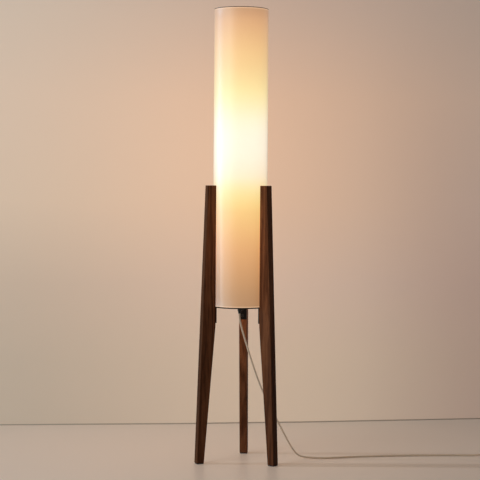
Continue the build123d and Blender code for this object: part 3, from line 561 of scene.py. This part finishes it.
def coated_steel(name, colour, grain=2600.0, depth=0.00006, roughness=0.42):
    """Powder coat: fine orange peel and a few duller, dustier patches."""
    f = Finish(name)
    peel = f.noise(grain, detail=1.0)
    dust = f.between(f.noise(38.0, detail=4.0, roughness=0.65), 0.35, 0.75)
    base = f.mix(f.math("MULTIPLY", dust, 0.5), colour, tuple(c * 1.6 + 0.002 for c in colour))
    return f.set(base=base, roughness=f.between(dust, 0, 1, roughness, roughness + 0.16),
                 normal=f.bump(peel, depth, 0.8), specular=0.2)


def metal(name, colour, roughness, lathe=True):
    """Bare or plated metal with turned rings or fine brushing, and a little tarnish."""
    f = Finish(name)
    lines = f.noise(1.0, f.stretch((60, 60, 5200) if lathe else (5200, 5200, 120)), 2.0)
    stain = f.between(f.noise(160.0, detail=5.0, roughness=0.6), 0.42, 0.72)
    base = f.mix(f.math("MULTIPLY", stain, 0.35), colour, tinted(colour, 0.55))
    polish = f.math("MULTIPLY_ADD", lines, 0.12, roughness - 0.06)
    return f.set(base=base, metallic=1.0, roughness=f.math("MULTIPLY_ADD", stain, 0.16, polish),
                 normal=f.bump(lines, 0.00002, 0.6))


def plastic(name, colour, roughness, grain, depth, mottle):
    """Moulded plastic: fine spark texture and a faint cloudiness in the colour."""
    f = Finish(name)
    cloud = f.noise(70.0, detail=3.0)
    texture = f.noise(grain, detail=1.0)
    base = f.mix(cloud, tinted(colour, 1 - mottle), tinted(colour, 1 + mottle))
    return f.set(base=base, roughness=f.math("MULTIPLY_ADD", texture, 0.14, roughness - 0.07),
                 normal=f.bump(texture, depth, 0.7))


def glowing(name, colour, glow, strength, mottle_scale=90.0):
    """A lit part of the bulb, with a faint cloudiness."""
    f = Finish(name)
    cloud = f.noise(mottle_scale, detail=3.0)
    base = f.mix(cloud, tinted(colour, 0.94), colour)
    light = f.mix(cloud, tinted(glow, 0.93), glow)
    return f.set(base=base, roughness=f.math("MULTIPLY_ADD", cloud, 0.1, 0.25), glow=light,
                 glow_strength=strength)


SHADE_LOW_Z = 0.4345
SHADE_HIGH_Z = 1.257
# The light that comes through the shade, at heights from its bottom to its top
SHADE_GLOW = [
    (0.445, (0.400, 0.205, 0.092)), (0.500, (0.505, 0.250, 0.098)), (0.566, (0.660, 0.320, 0.122)),
    (0.632, (0.810, 0.425, 0.152)), (0.698, (0.930, 0.580, 0.200)), (0.730, (0.960, 0.690, 0.260)),
    (0.763, (1.000, 0.800, 0.380)), (0.796, (1.030, 0.850, 0.610)), (0.845, (1.050, 0.925, 0.720)),
    (0.900, (1.050, 0.940, 0.750)), (0.945, (1.050, 0.925, 0.665)), (0.985, (1.030, 0.870, 0.500)),
    (1.026, (1.000, 0.795, 0.360)), (1.059, (0.960, 0.700, 0.315)), (1.100, (0.920, 0.610, 0.262)),
    (1.158, (0.860, 0.512, 0.220)), (1.224, (0.680, 0.355, 0.168)), (1.254, (0.520, 0.275, 0.137)),
]
GLOW_PEAK = 1.05
HEM_GLOW = (0.92, 0.60, 0.37)
SEAM_GLOW = (0.10, 0.055, 0.025)
THREAD_SPACING = 0.0008
WEAVE_R = 0.075


def shade_ramp(f, height, stops):
    """Colours at shares of the shade's height, blended smoothly."""
    share = f.add("ShaderNodeMapRange", {"Value": height, "From Min": SHADE_LOW_Z,
                                         "From Max": SHADE_HIGH_Z}).outputs[0]
    return f.ramp(share, stops, "B_SPLINE")


def shade_cloth():
    """Fine plain weave over translucent film, lit from inside.

    The glow changes with height, is paler in the hems and darker where the seam doubles the cloth."""
    f = Finish("shade_cloth")
    parts = f.split()
    azimuth, height = f.math("ARCTAN2", parts["Y"], parts["X"]), parts["Z"]
    around = f.math("MULTIPLY", azimuth, WEAVE_R)
    waver = f.math("MULTIPLY", f.noise(60.0), 0.0012)
    pitch = 2 * math.pi / THREAD_SPACING
    warp = f.math("SINE", f.math("MULTIPLY", f.math("ADD", around, waver), pitch))
    weft = f.math("SINE", f.math("MULTIPLY", f.math("ADD", height, waver), pitch))
    sheet = f.add("ShaderNodeCombineXYZ", {0: around, 1: height, 2: 0.0}).outputs[0]
    slub_up = f.noise(1.0, f.stretch((1150, 38, 1), sheet), 2.0)
    slub_round = f.noise(1.0, f.stretch((30, 1150, 1), sheet), 2.0)
    slubs = f.between(f.math("MAXIMUM", slub_up, slub_round), 0.52, 0.78)
    weave = f.math("MULTIPLY_ADD", f.math("MULTIPLY", warp, weft), 0.5, 0.5)
    threads = f.math("ADD", f.math("MULTIPLY", weave, 0.4), f.math("MULTIPLY", slubs, 0.6))
    span = SHADE_HIGH_Z - SHADE_LOW_Z
    glow = shade_ramp(f, height, [((z - SHADE_LOW_Z) / span, tuple(c / GLOW_PEAK for c in colour))
                                  for z, colour in SHADE_GLOW])
    cloud = f.between(f.noise(9.0, detail=2.0), 0.3, 0.7, 0.985, 1.015)
    glow = f.scaled(glow, f.math("MULTIPLY", cloud, f.between(threads, 0.1, 0.9, 1.03, 0.955)))
    edge = f.math("MINIMUM", f.math("SUBTRACT", height, cloth_low[2]),
                  f.math("SUBTRACT", cloth_high[2], height))
    hem = f.between(edge, HEM_H * 1.1, HEM_H * 0.85)
    glow = f.mix(f.math("MULTIPLY", hem, 0.4), glow, HEM_GLOW)
    lap = f.math("SUBTRACT", azimuth, SEAM_ANGLE + LAP_TURN / 2)
    doubled = f.between(f.math("ABSOLUTE", lap), LAP_TURN * 0.52, LAP_TURN * 0.48)
    glow = f.mix(f.math("MULTIPLY", doubled, 0.24), glow, SEAM_GLOW)
    base = f.mix(threads, (0.19, 0.145, 0.105), (0.23, 0.175, 0.125))
    return f.set(base=base, roughness=0.42, glow=glow, glow_strength=GLOW_PEAK, specular=0.9,
                 coat=0.75, coat_roughness=0.62, sheen=0.9, sheen_roughness=0.5,
                 normal=f.bump(threads, 0.00012, 0.55))


FILM_GLOW = [(0.0, (0.10, 0.06, 0.03)), (0.35, (0.35, 0.2, 0.08)), (0.57, (0.75, 0.55, 0.32)),
             (0.8, (0.4, 0.24, 0.1)), (1.0, (0.2, 0.11, 0.05))]


def shade_film():
    """The film inside the shade: satin, and bright where the bulb is near."""
    f = Finish("shade_film")
    brush = f.noise(1.0, f.stretch((900, 900, 30)), 2.0)
    base = f.mix(brush, (0.80, 0.775, 0.72), (0.88, 0.86, 0.81))
    glow = shade_ramp(f, f.split()["Z"], FILM_GLOW)
    return f.set(base=base, roughness=f.math("MULTIPLY_ADD", brush, 0.15, 0.36), glow=glow,
                 glow_strength=1.0)


# Painted light and shade for each leg: low on it, high on it, along its outer edge and along its
# inner edge
LEG_PAINTED_LIGHT = {"rear": (0.8, 1.75, 0.75, 1.75), "left": (1.0, 1.0, 0.75, 1.0),
             "right": (1.05, 1.55, 0.45, 1.0)}
for side, angle in LEG_ANGLES.items():
    show(walnut(f"walnut_{side}", angle, *LEG_PAINTED_LIGHT[side]), f"leg_{side}")

rubber = plastic("rubber", (0.017, 0.016, 0.015), 0.78, 1800.0, 0.00012, 0.25)
black_steel = coated_steel("black_steel", (0.009, 0.0068, 0.0055))
black_screws = coated_steel("black_screws", (0.028, 0.027, 0.027), 4200.0, 0.00002, 0.34)
zinc = metal("zinc", (0.56, 0.56, 0.55), 0.32)
brass = metal("brass", (0.73, 0.53, 0.26), 0.24)
contact_brass = metal("contact_brass", (0.80, 0.61, 0.33), 0.3, lathe=False)
nickel = metal("nickel", (0.67, 0.66, 0.64), 0.22)
spring_steel = metal("spring_steel", (0.50, 0.50, 0.50), 0.3, lathe=False)
black_nylon = plastic("black_nylon", (0.010, 0.009, 0.008), 0.5, 2400.0, 0.00006, 0.2)
tie_nylon = plastic("tie_nylon", (0.026, 0.026, 0.027), 0.4, 2400.0, 0.00005, 0.2)
pvc = plastic("pvc", (0.74, 0.60, 0.46), 0.36, 1500.0, 0.00005, 0.08)
moulded_pvc = plastic("moulded_pvc", (0.66, 0.545, 0.42), 0.46, 2200.0, 0.00008, 0.1)
phenolic = plastic("phenolic", (0.022, 0.019, 0.018), 0.26, 900.0, 0.00002, 0.3)
porcelain = plastic("porcelain", (0.82, 0.80, 0.76), 0.14, 300.0, 0.00003, 0.03)
insulator = plastic("insulator", (0.030, 0.024, 0.030), 0.16, 700.0, 0.00003, 0.3)
switch_plastic = plastic("switch_plastic", (0.64, 0.55, 0.45), 0.48, 2600.0, 0.00009, 0.06)
button_plastic = plastic("button_plastic", (0.55, 0.465, 0.375), 0.3, 2600.0, 0.00003, 0.06)
opal = glowing("opal_glass", (0.92, 0.90, 0.86), (1.0, 0.80, 0.55), 7.0)
led_board = glowing("led_board", (0.86, 0.86, 0.84), (0.9, 0.85, 0.75), 0.3)
led_phosphor = glowing("led_phosphor", (0.90, 0.72, 0.25), (1.0, 0.83, 0.5), 9.0, 400.0)

show(rubber, "foot_pad_rear", "foot_pad_left", "foot_pad_right")
show(black_steel, "base_plate", "shade_locator", "shade_ring_bottom", "shade_ring_top")
show(black_screws, "leg_screws", "flange_screws")
show(zinc, "stem", "stem_flange", "switch_screws")
show(brass, "stem_nut_lower", "stem_nut_upper")
show(contact_brass, "screw_shell", "centre_contact", "holder_terminals", "switch_terminals",
     "plug_blades")
show(nickel, "threaded_cap", "bulb_contact")
show(spring_steel, "button_spring")
show(black_nylon, "cord_grip", "switch_block")
show(tie_nylon, "coil_strap")
show(pvc, "stem_cable", "lead_to_switch", "lead_to_plug")
show(moulded_pvc, "switch_sleeves", "plug_body", "plug_sleeve")
show(phenolic, "holder_cap", "holder_shell")
show(porcelain, "holder_core")
show(insulator, "bulb_insulator")
show(switch_plastic, "switch_base", "switch_cover")
show(button_plastic, "switch_button")
show(opal, "bulb_glass")
show(led_board, "led_post")
show(led_phosphor, "led_strips")
show(shade_film(), "shade_liner")
show(shade_cloth(), "shade_cloth")


# ---------------------------------------------------------------- floor and backdrop
def stage_mesh(name, points, faces, material):
    """A smooth mesh that belongs to the studio, not to the lamp."""
    mesh = bpy.data.meshes.new(name)
    mesh.from_pydata(points, [], faces)
    mesh.materials.append(material)
    mesh.shade_smooth()
    piece = in_scene(name, mesh)
    return piece


def floor_paint():
    """Satin round the lamp and dull farther out, and a little paler towards the light."""
    f = Finish("floor_paint")
    base = f.mix(f.between(f.split()["X"], -0.7, 0.8), (0.815, 0.720, 0.650), (0.665, 0.600, 0.535))
    from_lamp = f.add("ShaderNodeVectorMath", {0: f.place}, operation="LENGTH").outputs["Value"]
    return f.set(base=base, roughness=f.between(from_lamp, 0.75, 1.3, 0.38, 0.95), specular=0.4,
                 glow=(0.715, 0.63, 0.56), glow_strength=0.035)


def wall_finish(name, colour):
    """Matt paper with a faint cloudiness."""
    f = Finish(name)
    base = f.mix(f.noise(1.6, detail=3.0), tinted(colour, 0.985), tinted(colour, 1.015))
    f.set(base=base, roughness=0.9, specular=0.1)
    return f


FLOOR_HALF = 14.0
floor = stage_mesh("floor", [(-FLOOR_HALF, -FLOOR_HALF, 0), (FLOOR_HALF, -FLOOR_HALF, 0),
                             (FLOOR_HALF, FLOOR_HALF, 0), (-FLOOR_HALF, FLOOR_HALF, 0)],
                   [(0, 1, 2, 3)], floor_paint())

# A paper backdrop hangs behind the lamp. It faces the lamp and is open from behind.
WALL_LINE = [(-1.75, 0.2530), (-0.8245, 0.4631), (-0.2319, 0.5884), (-0.0755, 0.6300),
             (0.1157, 0.6768), (0.6995, 0.8467), (2.4, 1.36), (6.5, 2.60)]
WALL_LEVELS = (0.0, 0.0035, 3.4)
wall_points = [(x, y, z) for z in WALL_LEVELS for x, y in WALL_LINE]
posts = len(WALL_LINE)
wall_faces = [(start, start + 1, start + posts + 1, start + posts)
              for row in range(2) for start in range(row * posts, row * posts + posts - 1)]
# Light on the paper at five heights, on the left, behind the lamp and on the right
GLOW_HEIGHTS = (0.20, 0.45, 0.72, 1.05, 1.34)
GLOW_LEFT = ((0.016, 0.033, 0.028), (0.055, 0.053, 0.043), (0.160, 0.126, 0.091),
             (0.187, 0.142, 0.110), (0.162, 0.138, 0.117))
GLOW_MIDDLE = ((0.165, 0.142, 0.107), (0.160, 0.125, 0.110), (0.190, 0.122, 0.086),
               (0.200, 0.118, 0.080), (0.130, 0.090, 0.080))
GLOW_RIGHT = ((0.089, 0.060, 0.057), (0.101, 0.065, 0.065), (0.126, 0.093, 0.090),
              (0.146, 0.104, 0.089), (0.102, 0.080, 0.074))
GLOW_TOP_Z = 1.6


def wall_glow(f):
    """The light on the paper, from the three columns of tones."""
    place = f.split()
    share = f.math("DIVIDE", place["Z"], GLOW_TOP_Z)
    left, middle, far = [
        f.ramp(share, [(z / GLOW_TOP_Z, colour) for z, colour in zip(GLOW_HEIGHTS, column)])
        for column in (GLOW_LEFT, GLOW_MIDDLE, GLOW_RIGHT)]
    glow = f.mix(f.between(place["X"], -0.9, 0.1), left, middle)
    return f.mix(f.between(place["X"], 0.1, 0.9), glow, far)


def clear_from_behind(f):
    """The finish shows on the front of each face only."""
    backfacing = f.add("ShaderNodeNewGeometry").outputs["Backfacing"]
    clear = f.add("ShaderNodeBsdfTransparent").outputs[0]
    either = f.add("ShaderNodeMixShader", {0: backfacing, 1: f.shader.outputs[0], 2: clear})
    f.put(f.nodes["Material Output"].inputs[0], either.outputs[0])


wall_paint = wall_finish("wall_paint", (0.84, 0.69, 0.58))
wall_paint.set(glow=wall_glow(wall_paint), glow_strength=1.0)
clear_from_behind(wall_paint)
wall = stage_mesh("backdrop", wall_points, wall_faces, wall_paint.material)
# The lowest strip is darker: a painted shadow where the paper meets the floor
wall.data.materials.append(wall_finish("wall_foot_shadow", (0.52, 0.44, 0.37)).material)
for polygon in wall.data.polygons[:posts - 1]:
    polygon.material_index = 1
wall.visible_shadow = False


# ---------------------------------------------------------------- light
SKY = 0.16


def lights_only(light, piece, state="INCLUDE"):
    """The light reaches that one piece and nothing else, or with EXCLUDE all but that piece."""
    group = bpy.data.collections.new(f"lit_by_{light.name}")
    group.objects.link(piece)
    group.collection_objects[0].light_linking.link_state = state
    light.light_linking.receiver_collection = group


def aim(light, direction):
    """Turns a light so that it shines along the direction."""
    light.rotation_euler = Vector(direction).to_track_quat("-Z", "Y").to_euler()


def area_light(name, place, target, width, height, power, colour):
    """A rectangular lamp that faces the target."""
    data = bpy.data.lights.new(name, "AREA")
    data.shape = "RECTANGLE"
    data.size, data.size_y = width, height
    data.energy, data.color = power, colour
    light = in_scene(name, data)
    light.location = place
    aim(light, Vector(target) - Vector(place))
    return light


# A low lamp on the left for the legs and the shade
low_lamp = area_light("low_lamp", (-2.77, -0.41, 0.5), (0.0, 0.0, 0.6), 0.25, 0.9, 13,
                      (0.90, 1.0, 1.0))
lights_only(low_lamp, floor, "EXCLUDE")

# A cool light along the left side of the cloth
edge_lamp = area_light("edge_lamp", (-2.78, 0.30, 0.95), (0.0, 0.0, 0.95), 0.2, 1.0, 15,
                       (0.55, 1.0, 1.45))
edge_lamp.data.use_shadow = False
lights_only(edge_lamp, cloth)

# A low sun that throws the legs' shadows along the floor
low_sun = in_scene("low_sun", bpy.data.lights.new("low_sun", "SUN"))
low_sun.data.energy = 1.95
low_sun.data.angle = 0.028
aim(low_sun, (6.94, 0.92, -1.2))
low_sun.visible_glossy = False
lights_only(low_sun, floor)

area_light("window", (-2.26, -2.26, 1.65), (0, 0, 1.2), 1.8, 2.4, 29, (0.88, 1.0, 1.0))

# The warm light that the shade throws on the paper, the floor and the legs' inner sides
for height, power in ((0.95, 2.7), (0.66, 1.4)):
    spill = in_scene("shade_glow", bpy.data.lights.new("shade_glow", "POINT"))
    spill.data.energy, spill.data.color = power, (1.0, 0.60, 0.35)
    spill.data.shadow_soft_size = 0.05
    spill.data.use_shadow = False
    spill.location = (0, 0, height)

world = bpy.data.worlds.new("studio")
bpy.context.scene.world = world
world.use_nodes = True
sky = world.node_tree.nodes["Background"].inputs
sky["Color"].default_value = (1.0, 1.0, 1.0, 1)
sky["Strength"].default_value = SKY
bpy.context.scene.view_settings.view_transform = "Standard"
